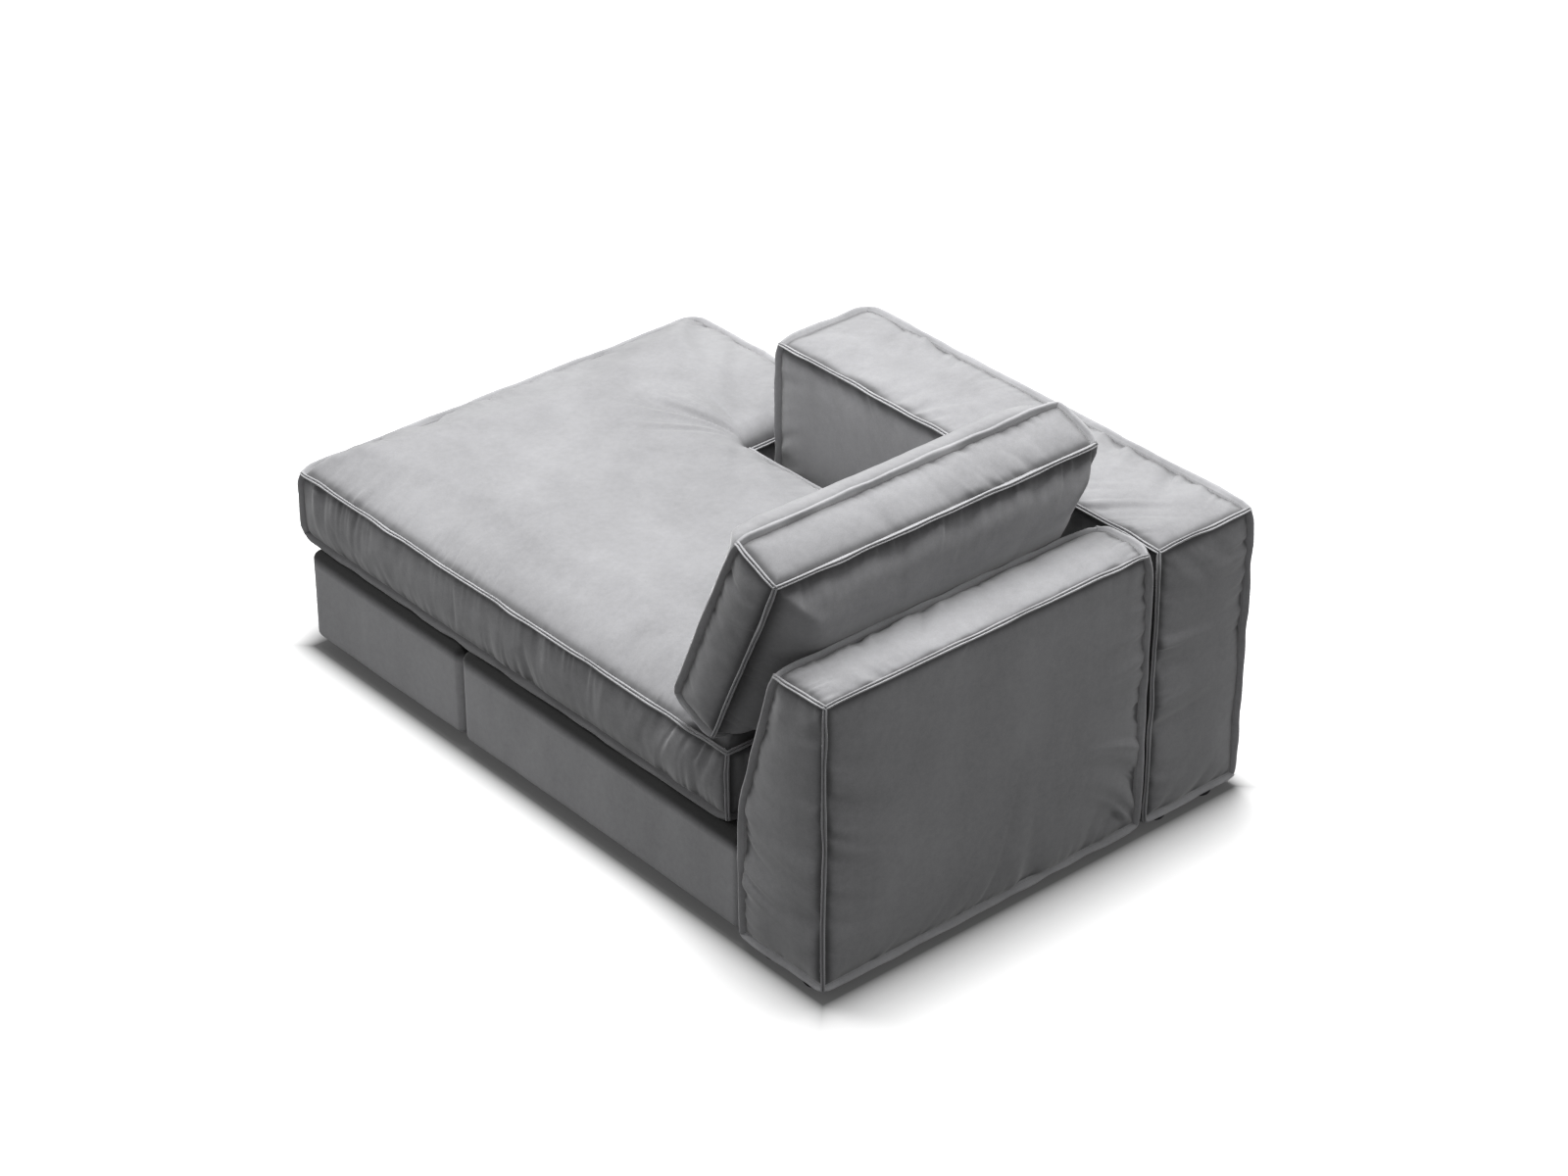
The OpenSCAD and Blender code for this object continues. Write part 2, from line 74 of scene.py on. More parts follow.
def makeCamera(v):
    data = bpy.data.cameras.new("camera")
    data.lens = v["lens"]
    data.sensor_width = 36
    data.clip_end = 60
    item = bpy.data.objects.new("camera", data)
    scene.collection.objects.link(item)
    item.location = v["place"]
    item.rotation_euler = (math.radians(90 - v["pitch"]), 0, math.radians(v["yaw"]))
    scene.camera = item


# Shader helpers

class Wire:

    def __init__(self, graph, socket):
        self.graph = graph
        self.socket = socket

    def join(self, operation, other, swap=False):
        a, b = (other, self) if swap else (self, other)
        return self.graph.add("ShaderNodeMath", {"operation": operation}, {0: a, 1: b})

    def __add__(self, other):
        return self.join("ADD", other)

    def __radd__(self, other):
        return self.join("ADD", other, True)

    def __sub__(self, other):
        return self.join("SUBTRACT", other)

    def __rsub__(self, other):
        return self.join("SUBTRACT", other, True)

    def __mul__(self, other):
        return self.join("MULTIPLY", other)

    def __rmul__(self, other):
        return self.join("MULTIPLY", other, True)

    def __pow__(self, other):
        return self.join("POWER", other)

    def __rpow__(self, other):
        return self.join("POWER", other, True)


class Graph:
    def __init__(self, name, tree=None):
        if tree is None:
            self.material = bpy.data.materials.new(name)
            self.material.use_nodes = True
            tree = self.material.node_tree
            tree.nodes.clear()
        self.tree = tree
        self.place = Wire(self, self.tree.nodes.new("ShaderNodeTexCoord").outputs["Object"])

    def add(self, kind, settings=None, values=None, output=0):
        node = self.tree.nodes.new(kind)
        for key, value in (settings or {}).items():
            if key == "stops":
                for stop, (at, shade) in zip(node.color_ramp.elements, value):
                    stop.position = at
                    stop.color = shade if isinstance(shade, tuple) else (shade,) * 3 + (1,)
            else:
                setattr(node, key, value)
        for key, value in (values or {}).items():
            if isinstance(value, Wire):
                self.tree.links.new(value.socket, node.inputs[key])
            else:
                node.inputs[key].default_value = value
        return Wire(self, node.outputs[output]) if node.outputs else None

    def noise(self, scale, detail=2, roughness=0.5, place=None):
        return self.add("ShaderNodeTexNoise", {}, {"Vector": place or self.place, "Scale": scale,
                                                    "Detail": detail, "Roughness": roughness})

    def stretched(self, scale):
        return self.add("ShaderNodeMapping", {}, {"Vector": self.place, "Scale": scale})

    def blend(self, amount, a, b):
        return self.add("ShaderNodeMix", {"data_type": "RGBA"}, {0: amount, 6: a, 7: b}, 2)

    def finish(self, values):
        shader = self.add("ShaderNodeBsdfPrincipled", {}, values)
        self.add("ShaderNodeOutputMaterial", {}, {"Surface": shader})
        return self.material


def grey(shade, blue=0.0):
    return (shade, shade, shade * (1 + blue), 1)


studio = {
    "lights": [
        ("topLight", (-0.4, -0.4, 5.2), 3.2, 470),
        ("footLight", (3.4, -7.5, 2.8), 2.2, 170),
        ("armLight", (-7.5, 5.4, 3.0), 2.2, 110),
    ],
    # Two entries below set the painted contact shadow on the floor: its darkness and its reach.
    "worldShade": 0.41, "floorShade": 0.98, "floorGlow": 0.05, "floorBounce": 0.14,
    "paintedShadowDark": 0.88, "paintedShadowReach": 0.024, "backdrop": 1.05, "floorHalf": 14.0,
}


def makeStudio(v):
    for name, place, size, power in v["lights"]:
        data = bpy.data.lights.new(name, "AREA")
        data.shape = "DISK"
        data.size = size
        data.energy = power
        item = bpy.data.objects.new(name, data)
        scene.collection.objects.link(item)
        item.location = place
        aim = Vector((0, 0, 0.3)) - Vector(place)
        item.rotation_euler = aim.to_track_quat("-Z", "Y").to_euler()

    world = bpy.data.worlds.new("studio")
    world.use_nodes = True
    scene.world = world
    world.node_tree.nodes.clear()
    g = Graph("studio", world.node_tree)
    isSeen = g.add("ShaderNodeLightPath")
    fill = g.add("ShaderNodeBackground", {}, {"Color": grey(1), "Strength": v["worldShade"]})
    seen = g.add("ShaderNodeBackground", {}, {"Color": grey(1), "Strength": v["backdrop"]})
    mix = g.add("ShaderNodeMixShader", {}, {0: isSeen, 1: fill, 2: seen})
    g.add("ShaderNodeOutputWorld", {}, {"Surface": mix})
    scene.view_settings.view_transform = "Standard"
    scene.view_settings.look = "None"

    mesh = bpy.data.meshes.new("floor")
    side = v["floorHalf"]
    mesh.from_pydata([(-side, -side, 0), (side, -side, 0), (side, side, 0), (-side, side, 0)], [],
                     [(0, 1, 2, 3)])
    floor = bpy.data.objects.new("floor", mesh)
    scene.collection.objects.link(floor)
    g = Graph("paleFloor")
    away = []
    for axis, low, high in (("X", armLow[0], panelHigh[0]), ("Y", footBaseLow[1], panelHigh[1])):
        at = g.add("ShaderNodeSeparateXYZ", {}, {0: g.place}, axis)
        away.append((at - float(low + high) / 2).join("ABSOLUTE", 0.0) - float(high - low) / 2)
    away = away[0].join("MAXIMUM", away[1]).join("MAXIMUM", 0.0)
    # Painted shadow: the floor's colour darkens close to the daybed's footprint, standing in for its
    # contact shadow.
    shade = v["floorShade"] * (1 - v["paintedShadowDark"] * ((1 / math.e) ** (away * (1 / v["paintedShadowReach"]))))
    colour = g.add("ShaderNodeCombineColor", {}, {0: shade, 1: shade, 2: shade})
    pale = g.add("ShaderNodeBsdfPrincipled", {}, {
        "Base Color": colour, "Roughness": 0.9, "Specular IOR Level": 0.1,
        "Emission Color": grey(1), "Emission Strength": v["floorGlow"]})
    dim = g.add("ShaderNodeBsdfDiffuse", {}, {"Color": grey(v["floorBounce"])})
    isSeen = g.add("ShaderNodeLightPath")
    mix = g.add("ShaderNodeMixShader", {}, {0: isSeen, 1: dim, 2: pale})
    g.add("ShaderNodeOutputMaterial", {}, {"Surface": mix})
    mesh.materials.append(g.material)


makeCamera(camera)
makeStudio(studio)
print("stage: camera and studio")


# Velvet

velvet = {
    "dark": 0.172, "light": 0.298, "blue": 0.030, "sheen": 0.50, "pile": 0.14, "seamDark": 0.70,
    "cloud": 0.38, "brushed": 0.22, "mottle": 0.18, "fleck": 0.22,
}


def makeVelvet(name, v, lift=1.0):
    g = Graph(name)
    cloud = g.noise(2.6, 4, 0.6)
    brushed = g.noise(11.0, 3, 0.6, g.stretched((1.0, 1.0, 0.35)))
    mottle = g.noise(75, 3, 0.6)
    fleck = g.noise(420, 2, 0.6)
    tone = cloud * v["cloud"] + brushed * v["brushed"] + mottle * v["mottle"] + fleck * v["fleck"]
    stops = [(0.30, grey(v["dark"] * lift, v["blue"])), (0.70, grey(v["light"] * lift, v["blue"]))]
    ramp = g.add("ShaderNodeValToRGB", {"stops": stops}, {"Fac": tone})
    # Painted shade: a per-point attribute blends the colour towards near black in the grooves beside seams,
    # on the seat's lower flange loop and along the base's top edge.
    seam = g.add("ShaderNodeAttribute", {"attribute_name": "seam"}, output=2)
    ramp = g.blend(seam * v["seamDark"], ramp, grey(0.02))
    pile = g.noise(1500, 2, 0.7)
    nap = g.noise(160, 3, 0.6)
    weave = pile * 0.7 + nap * 0.3
    bump = g.add("ShaderNodeBump", {}, {"Strength": v["pile"], "Distance": 0.0006, "Height": weave})
    return g.finish({"Base Color": ramp, "Roughness": 0.82 + 0.1 * nap, "Normal": bump,
                     "Specular IOR Level": 0.18, "Sheen Weight": v["sheen"], "Sheen Roughness": 0.42,
                     "Sheen Tint": (1, 1, 1, 1)})


velvetCover = makeVelvet("velvetCover", velvet)
# Flange copy with a 1.38 times lighter colour: a painted highlight standing in for the sheen along the
# flanges' rounded edges.
velvetFlangePaintedHighlight = makeVelvet("velvetFlangePaintedHighlight", velvet, 1.38)
# Base copy: less sheen, a lighter colour so its faces keep their brightness, and stronger painted shade
# along its top edge under the seat.
velvetBase = makeVelvet("velvetBase", dict(velvet, sheen=0.18, seamDark=0.92), 1.30)


# Padded slabs

def smoothNoise(t, seed, period):
    rng = np.random.default_rng(seed)
    table = rng.uniform(-1, 1, 512)
    x = np.asarray(t) / period + 17.3
    i = np.floor(x).astype(int)
    f = x - i
    f = f * f * (3 - 2 * f)
    return table[i % 512] * (1 - f) + table[(i + 1) % 512] * f


def insidePolygon(x, y, outline):
    inside = False
    for (x0, y0), (x1, y1) in zip(outline, outline[1:] + outline[:1]):
        if (y0 > y) != (y1 > y) and x < (x1 - x0) * (y - y0) / (y1 - y0) + x0:
            inside = not inside
    return inside


def slabMesh(name, a, b, c, outline):
    index, points, faces = {}, [], []

    def vertex(i, j, k):
        key = (i, j, k)
        if key not in index:
            index[key] = len(points)
            points.append((a[i], b[j], c[k]))
        return index[key]

    na, nb, nc = len(a) - 1, len(b) - 1, len(c) - 1
    solid = np.zeros((na + 2, nb + 2), bool)
    for i in range(na):
        for j in range(nb):
            solid[i + 1, j + 1] = insidePolygon((a[i] + a[i + 1]) / 2, (b[j] + b[j + 1]) / 2, outline)
    for i in range(na):
        for j in range(nb):
            if not solid[i + 1, j + 1]:
                continue
            faces.append([vertex(i, j, nc), vertex(i + 1, j, nc), vertex(i + 1, j + 1, nc),
                          vertex(i, j + 1, nc)])
            faces.append([vertex(i, j, 0), vertex(i, j + 1, 0), vertex(i + 1, j + 1, 0),
                          vertex(i + 1, j, 0)])
            for di, dj, p, q in ((0, -1, (i, j), (i + 1, j)), (1, 0, (i + 1, j), (i + 1, j + 1)),
                                 (0, 1, (i + 1, j + 1), (i, j + 1)), (-1, 0, (i, j + 1), (i, j))):
                if not solid[i + 1 + di, j + 1 + dj]:
                    for k in range(nc):
                        faces.append([vertex(*p, k), vertex(*q, k), vertex(*q, k + 1),
                                      vertex(*p, k + 1)])
    mesh = bpy.data.meshes.new(name)
    mesh.from_pydata(points, [], faces)
    mesh.update()
    return mesh


def readPoints(mesh, attribute=None):
    if attribute:
        data = mesh.attributes[attribute].data
        out = np.zeros(len(data) * 3, np.float32)
        data.foreach_get("vector", out)
    else:
        out = np.zeros(len(mesh.vertices) * 3, np.float32)
        mesh.vertices.foreach_get("co", out)
    return out.reshape(-1, 3).astype(float)


def writePoints(mesh, points):
    mesh.vertices.foreach_set("co", np.asarray(points, np.float32).ravel())
    mesh.update()


def vertexNormals(mesh):
    out = np.zeros(len(mesh.vertices) * 3, np.float32)
    mesh.vertex_normals.foreach_get("vector", out)
    return out.reshape(-1, 3).astype(float)


def addObject(name, mesh):
    item = bpy.data.objects.new(name, mesh)
    scene.collection.objects.link(item)
    return item


def bake(item):
    evaluated = item.evaluated_get(bpy.context.evaluated_depsgraph_get())
    mesh = bpy.data.meshes.new_from_object(evaluated)
    old = item.data
    item.modifiers.clear()
    item.data = mesh
    mesh.name = item.name
    if old.users == 0:
        bpy.data.meshes.remove(old)
    return mesh


def smooth(mesh):
    mesh.polygons.foreach_set("use_smooth", [True] * len(mesh.polygons))


fabric = {"quality": 6, "mass": 0.25, "tension_stiffness": 18, "compression_stiffness": 6,
          "shear_stiffness": 6}


def inflate(item, pinned, v):
    group = item.vertex_groups.new(name="pinned")
    group.add([int(i) for i in np.nonzero(pinned)[0]], 1.0, "REPLACE")
    rest = readPoints(item.data)
    cloth = item.modifiers.new("cloth", "CLOTH")
    s = cloth.settings
    for key, value in fabric.items():
        setattr(s, key, value)
    s.bending_stiffness = v["bend"]
    s.use_pressure = True
    s.uniform_pressure_force = v["pressure"]
    s.shrink_min = -v["slack"]
    s.vertex_group_mass = "pinned"
    s.effector_weights.gravity = 0
    cloth.point_cache.frame_start = 1
    cloth.point_cache.frame_end = v["frames"]
    for f in range(1, v["frames"] + 1):
        scene.frame_set(f)
    mesh = bake(item)
    scene.frame_set(1)
    moved = readPoints(mesh) - rest
    size = np.linalg.norm(moved, axis=1, keepdims=True)
    cap = v["cap"]
    scale = np.where(size > 1e-9, cap * np.tanh(size / cap) / np.maximum(size, 1e-9), 1)
    writePoints(mesh, rest + moved * scale)
    item.vertex_groups.clear()


print("stage: helpers")


# Flanges and stitches

# shadeReach is how far the painted shade beside the seams reaches.
flange = {"reach": 0.0150, "half": 0.0047, "sway": 0.0023, "swayPeriod": 0.060, "heightSway": 0.12,
          "shadeReach": 0.013}
inset = 0.0095                               # from a piece's outside to its seams
tapeThick = 0.0012
lipProfile = [(0.55, -0.45), (0.62, 0.20), (0.86, 0.52), (1.0, 0.76), (0.86, 0.94), (0.58, 1.0),
              (0.30, 0.93), (0.10, 0.74), (0.0, 0.50)]


def unit(vectors):
    return vectors / np.maximum(np.linalg.norm(vectors, axis=-1, keepdims=True), 1e-12)


def runFrame(run):
    points, closed = run["points"], run["closed"]
    if closed:
        tangent = np.roll(points, -1, 0) - np.roll(points, 1, 0)
    else:
        tangent = np.gradient(points, axis=0)
    tangent = unit(tangent)
    side = unit(np.cross(tangent, run["offsets"]))
    step = np.linalg.norm(np.diff(points, axis=0), axis=1)
    return side, np.concatenate([[0], np.cumsum(step)])


def makeFlange(name, runs, v, material):
    profile = lipProfile + [(-x, y) for x, y in lipProfile[-2::-1]]
    points, faces = [], []
    for number, run in enumerate(runs):
        side, s = runFrame(run)
        seed = 100 + 7 * number
        total = s[-1]
        fade = np.ones(len(s)) if run["closed"] else np.clip(np.minimum(s, total - s) / 0.03, 0, 1)
        sway = v["sway"] * smoothNoise(s, seed, v["swayPeriod"]) * fade
        height = 1 + v["heightSway"] * smoothNoise(s, seed + 1, 0.05) * fade
        width = v["half"] * (1 + 0.14 * smoothNoise(s, seed + 2, 0.06))
        base = len(points)
        count = len(profile)
        for i in range(len(s)):
            for x, y in profile:
                lean = sway[i] * max(y, 0) ** 1.5
                points.append(run["points"][i] + side[i] * (x * width[i] + lean)
                              + run["offsets"][i] * y * (height[i] if y > 0 else 1))
        rings = len(s)
        for i in range(rings if run["closed"] else rings - 1):
            j = (i + 1) % rings
            for k in range(count):
                m = (k + 1) % count
                faces.append([base + i * count + k, base + j * count + k, base + j * count + m,
                              base + i * count + m])
        if not run["closed"]:
            faces.append([base + k for k in range(count)])
            faces.append([base + (rings - 1) * count + k for k in range(count - 1, -1, -1)])
    mesh = bpy.data.meshes.new(name)
    mesh.from_pydata([tuple(p) for p in points], [], faces)
    mesh.materials.append(material)
    # Painted shade: runs not marked as cap (the seat's lower loop) are darkened, standing in for the shade
    # of the gap above the base.
    paintShadeAttribute(mesh, [0.0 if run.get("cap", True) else 0.85 for run in runs
                     for _ in range(len(run["points"]) * len(profile))])
    outwards(mesh)
    smooth(mesh)
    return addObject(name, mesh)


def paintShadeAttribute(mesh, values):
    shade = mesh.attributes.new("seam", "FLOAT", "POINT")
    shade.data.foreach_set("value", np.asarray(values, np.float32))


def outwards(mesh):
    edit = bmesh.new()
    edit.from_mesh(mesh)
    bmesh.ops.recalc_face_normals(edit, faces=edit.faces)
    edit.to_mesh(mesh)
    edit.free()


stitch = {"pitch": 0.0056, "length": 0.0042, "thickness": 0.0006}


def stitchTree():
    tree = bpy.data.node_groups.new("stitchRow", "GeometryNodeTree")
    face = tree.interface
    face.new_socket("Geometry", in_out="INPUT", socket_type="NodeSocketGeometry")
    face.new_socket("Pitch", in_out="INPUT", socket_type="NodeSocketFloat")
    face.new_socket("Size", in_out="INPUT", socket_type="NodeSocketVector")
    face.new_socket("Thread", in_out="INPUT", socket_type="NodeSocketMaterial")
    face.new_socket("Geometry", in_out="OUTPUT", socket_type="NodeSocketGeometry")
    start = tree.nodes.new("NodeGroupInput")
    curve = tree.nodes.new("GeometryNodeMeshToCurve")
    resample = tree.nodes.new("GeometryNodeResampleCurve")
    resample.mode = "LENGTH"
    tangent = tree.nodes.new("GeometryNodeInputTangent")
    align = tree.nodes.new("FunctionNodeAlignRotationToVector")
    align.axis = "X"
    bead = tree.nodes.new("GeometryNodeMeshIcoSphere")
    bead.inputs["Radius"].default_value = 0.5
    bead.inputs["Subdivisions"].default_value = 1
    place = tree.nodes.new("GeometryNodeInstanceOnPoints")
    real = tree.nodes.new("GeometryNodeRealizeInstances")
    paint = tree.nodes.new("GeometryNodeSetMaterial")
    end = tree.nodes.new("NodeGroupOutput")
    link = tree.links.new
    link(start.outputs["Geometry"], curve.inputs["Mesh"])
    link(curve.outputs["Curve"], resample.inputs["Curve"])
    link(start.outputs["Pitch"], resample.inputs["Length"])
    link(tangent.outputs["Tangent"], align.inputs["Vector"])
    link(resample.outputs["Curve"], place.inputs["Points"])
    link(bead.outputs["Mesh"], place.inputs["Instance"])
    link(align.outputs["Rotation"], place.inputs["Rotation"])
    link(start.outputs["Size"], place.inputs["Scale"])
    link(place.outputs["Instances"], real.inputs["Geometry"])
    link(real.outputs["Geometry"], paint.inputs["Geometry"])
    link(start.outputs["Thread"], paint.inputs["Material"])
    link(paint.outputs["Geometry"], end.inputs["Geometry"])
    return tree


def addNodes(item, tree, values):
    modifier = item.modifiers.new(tree.name, "NODES")
    modifier.node_group = tree
    for socket in tree.interface.items_tree:
        if socket.in_out == "INPUT" and socket.name in values:
            modifier[socket.identifier] = values[socket.name]


def makeThread(name):
    g = Graph(name)
    twist = g.noise(900, 1)
    return g.finish({"Base Color": grey(0.15), "Roughness": 0.5 + 0.3 * twist,
                     "Sheen Weight": 0.3})


thread = makeThread("thread")
stitchRow = stitchTree()


def makeStitches(name, runs, v, lip):
    points, edges = [], []
    for run in runs:
        side = runFrame(run)[0]
        for sign in (-1, 1):
            row = run["points"] + side * sign * (lip["half"] * 0.70) + run["offsets"] * 0.16
            base = len(points)
            points += [tuple(p) for p in row]
            edges += [(base + i, base + i + 1) for i in range(len(row) - 1)]
            if run["closed"]:
                edges.append((base + len(row) - 1, base))
    mesh = bpy.data.meshes.new(name)
    mesh.from_pydata(points, edges, [])
    item = addObject(name, mesh)
    addNodes(item, stitchRow, {"Pitch": v["pitch"], "Thread": thread,
                               "Size": (v["length"], v["thickness"], v["thickness"])})
    bake(item)
    return item


def seamRuns(mesh, rest, toWorld, outline, thickness, reach, skip=(), shadeLowerFlange=False):
    world = readPoints(mesh)
    step = 0.002

    def along(p, q):
        p, q = np.array(p, float), np.array(q, float)
        d = q - p
        t = (rest - p) @ d / (d @ d)
        off = np.linalg.norm(rest - (p + np.clip(t, 0, 1)[:, None] * d), axis=1)
        found = np.nonzero(off < 1e-4)[0]
        return found[np.argsort(t[found])]

    def offsets(at, directions):
        total = np.zeros((len(at), 3))
        here = toWorld(rest[at])
        for d in directions:
            total += unit(toWorld(rest[at] + step * np.array(d, float)) - here)
        return total * reach / math.sqrt(2)

    def corner(at, directions):
        return unit(offsets(at, directions)[0]) * reach * 0.86

    def soften(found, out):
        step = np.linalg.norm(np.diff(rest[found], axis=0), axis=1)
        s = np.concatenate([[0], np.cumsum(step)])
        return out * (1 - 0.16 * np.exp(-np.minimum(s, s[-1] - s) / 0.010))[:, None]

    count = len(outline)
    normals = []
    for (a0, b0), (a1, b1) in zip(outline, outline[1:] + outline[:1]):
        size = math.hypot(a1 - a0, b1 - b0)
        normals.append(((b1 - b0) / size, -(a1 - a0) / size, 0))
    runs = []
    for c, cap in ((thickness, (0, 0, 1)), (0, (0, 0, -1))):
        points, outs = [], []
        for e in range(count):
            p, q = outline[e], outline[(e + 1) % count]
            found = along((*p, c), (*q, c))[:-1]
            out = soften(found, offsets(found, [cap, normals[e]]))
            out[0] = corner(found[:1], [cap, normals[e], normals[e - 1]])
            points.append(world[found])
            outs.append(out)
        runs.append({"points": np.concatenate(points), "offsets": np.concatenate(outs),
                     # When asked for, the lower loop is marked for painted shade on its flange.
                     "closed": True, "cap": c > 0 or not shadeLowerFlange})
    for e in range(count):
        if e in skip:
            continue
        found = along((*outline[e], 0), (*outline[e], thickness))
        out = soften(found, offsets(found, [normals[e], normals[e - 1]]))
        out[0] = corner(found[:1], [normals[e], normals[e - 1], (0, 0, -1)])
        out[-1] = corner(found[-1:], [normals[e], normals[e - 1], (0, 0, 1)])
        runs.append({"points": world[found], "offsets": out, "closed": False})
    return runs


# Creases beside the seams

def creases(s, d, v, seed):
    d = np.maximum(d, 0)
    patch = np.clip(0.65 + 0.7 * smoothNoise(s, seed, 0.19), 0.22, 1.3)
    tilt = v["tilt"] * (0.5 + smoothNoise(s, seed + 1, 0.33))
    total = np.zeros(len(s))
    for number, (pitch, depth, reach) in enumerate(v["folds"]):
        k = seed + 101 * (number + 1)
        far = np.maximum(reach * (0.62 + 0.5 * smoothNoise(s, k, 1.7 * pitch)), 0.008)
        wave = 0.55 * smoothNoise(s + tilt * d, k + 1, pitch)
        wave += 0.9 * (np.abs(smoothNoise(s + tilt * d, k + 2, pitch * 1.3)) - 0.45)
        total += depth * wave * np.exp(-(d / far) ** 1.5)
    return patch * total * (1 - np.exp(-d / 0.005))


def slabCreases(rest, outline, thickness, v, seed):
    onTop = rest[:, 2] > thickness - tiny
    onBottom = rest[:, 2] < tiny
    total = np.zeros(len(rest))
    for e, (p, q) in enumerate(zip(outline, outline[1:] + outline[:1])):
        p, q = np.array(p, float), np.array(q, float)
        length = np.linalg.norm(q - p)
        t = (q - p) / length
        n = np.array([t[1], -t[0]])
        s = (rest[:, :2] - p) @ t
        d = -((rest[:, :2] - p) @ n)
        inEdge = (s > -tiny) & (s < length + tiny)
        band = inEdge & (np.abs(d) < tiny) & ~onTop & ~onBottom
        nearEnds = np.clip(np.minimum(s, length - s) / 0.05, 0, 1)
        for sheet, amount, k in ((onTop, v["top"], 1), (onBottom, v["bottom"], 2)):
            use = sheet & inEdge & (d > -tiny)
            total[use] += amount * (creases(s, d, v, seed + 31 * e + k) * nearEnds)[use]
        ends = np.minimum(s, length - s)
        up = rest[:, 2]
        for away, amount, k in ((thickness - up, v["bandTop"], 11), (up, v["bandBottom"], 12)):
            total[band] += amount * (creases(s, away, v, seed + 31 * e + k) * nearEnds)[band]
        total[band] += v["corner"] * creases(rest[:, 2] + 0.7 * e, ends, v, seed + 31 * e + 13)[band]
    return total


def seamDistance(rest, outline, thickness, scale=None):
    best = np.full(len(rest), 9.0)
    for e, (p, q) in enumerate(zip(outline, outline[1:] + outline[:1])):
        p, q = np.array(p, float), np.array(q, float)
        d = q - p
        t = np.clip(((rest[:, :2] - p) @ d) / (d @ d), 0, 1)
        flat = np.linalg.norm(rest[:, :2] - (p + t[:, None] * d), axis=1)
        post = np.linalg.norm(rest[:, :2] - p, axis=1)
        near = np.minimum(np.hypot(flat, rest[:, 2]), np.hypot(flat, rest[:, 2] - thickness))
        best = np.minimum(best, np.minimum(near, post) * (scale or {}).get(e, 1.0))
    return best


def doneWith(item, body, replaced=()):
    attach(item, body)
    if replaced:
        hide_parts(*replaced)
    return item


def cornerPull(rest, outline, thickness, pulls):
    total = np.zeros((len(rest), 3))
    middle = np.array([np.mean([p[0] for p in outline]), np.mean([p[1] for p in outline])])
    for e, (radius, depth) in pulls.items():
        p = np.array(outline[e])
        inward = np.sign(middle - p)
        for c, way in ((0, 1), (thickness, -1)):
            off = rest - np.array([p[0], p[1], c])
            near = np.clip(1 - np.linalg.norm(off, axis=1) / radius, 0, 1) ** 2
            total += (near * depth)[:, None] * np.array([inward[0], inward[1], 0.7 * way]) / 1.58
    return total


# The band lies level with the zip's tape along the zip
def zipStrip(points, rest, outline, thickness, v):
    p, q = np.array(outline[v["edge"]]), np.array(outline[(v["edge"] + 1) % len(outline)])
    length = np.linalg.norm(q - p)
    t = (q - p) / length
    n = np.array([t[1], -t[0]])
    s = (rest[:, :2] - p) @ t
    onBand = np.abs((rest[:, :2] - p) @ n) < tiny
    over = np.maximum(np.abs(rest[:, 2] - v["at"]) - v["half"], 0)
    past = np.maximum(np.maximum(v["end"] - s, s - length + v["end"]), 0)
    softSide, softEnd = 0.012, 0.02
    mask = (np.exp(-(over / softSide) ** 2 - (past / softEnd) ** 2) * onBand)[:, None]
    flat = rest + np.array([n[0], n[1], 0]) * v["height"]
    return points * (1 - mask) + flat * mask


# Subdivision that keeps the seams sharp
def divide(item, outline, thickness, levels):
    mesh = item.data
    if "crease_edge" not in mesh.attributes:
        mesh.attributes.new("crease_edge", "FLOAT", "EDGE")
    rest = readPoints(mesh, "rest")
    ends = np.zeros(len(mesh.edges) * 2, np.int32)
    mesh.edges.foreach_get("vertices", ends)
    ends = ends.reshape(-1, 2)
    onSeam = seamDistance(rest, outline, thickness) < tiny
    middle = (rest[ends[:, 0]] + rest[ends[:, 1]]) / 2
    sharp = onSeam[ends].all(1) & (seamDistance(middle, outline, thickness) < tiny)
    mesh.attributes["crease_edge"].data.foreach_set("value", sharp.astype(np.float32))
    modifier = item.modifiers.new("divide", "SUBSURF")
    modifier.levels = modifier.render_levels = levels
    return bake(item)


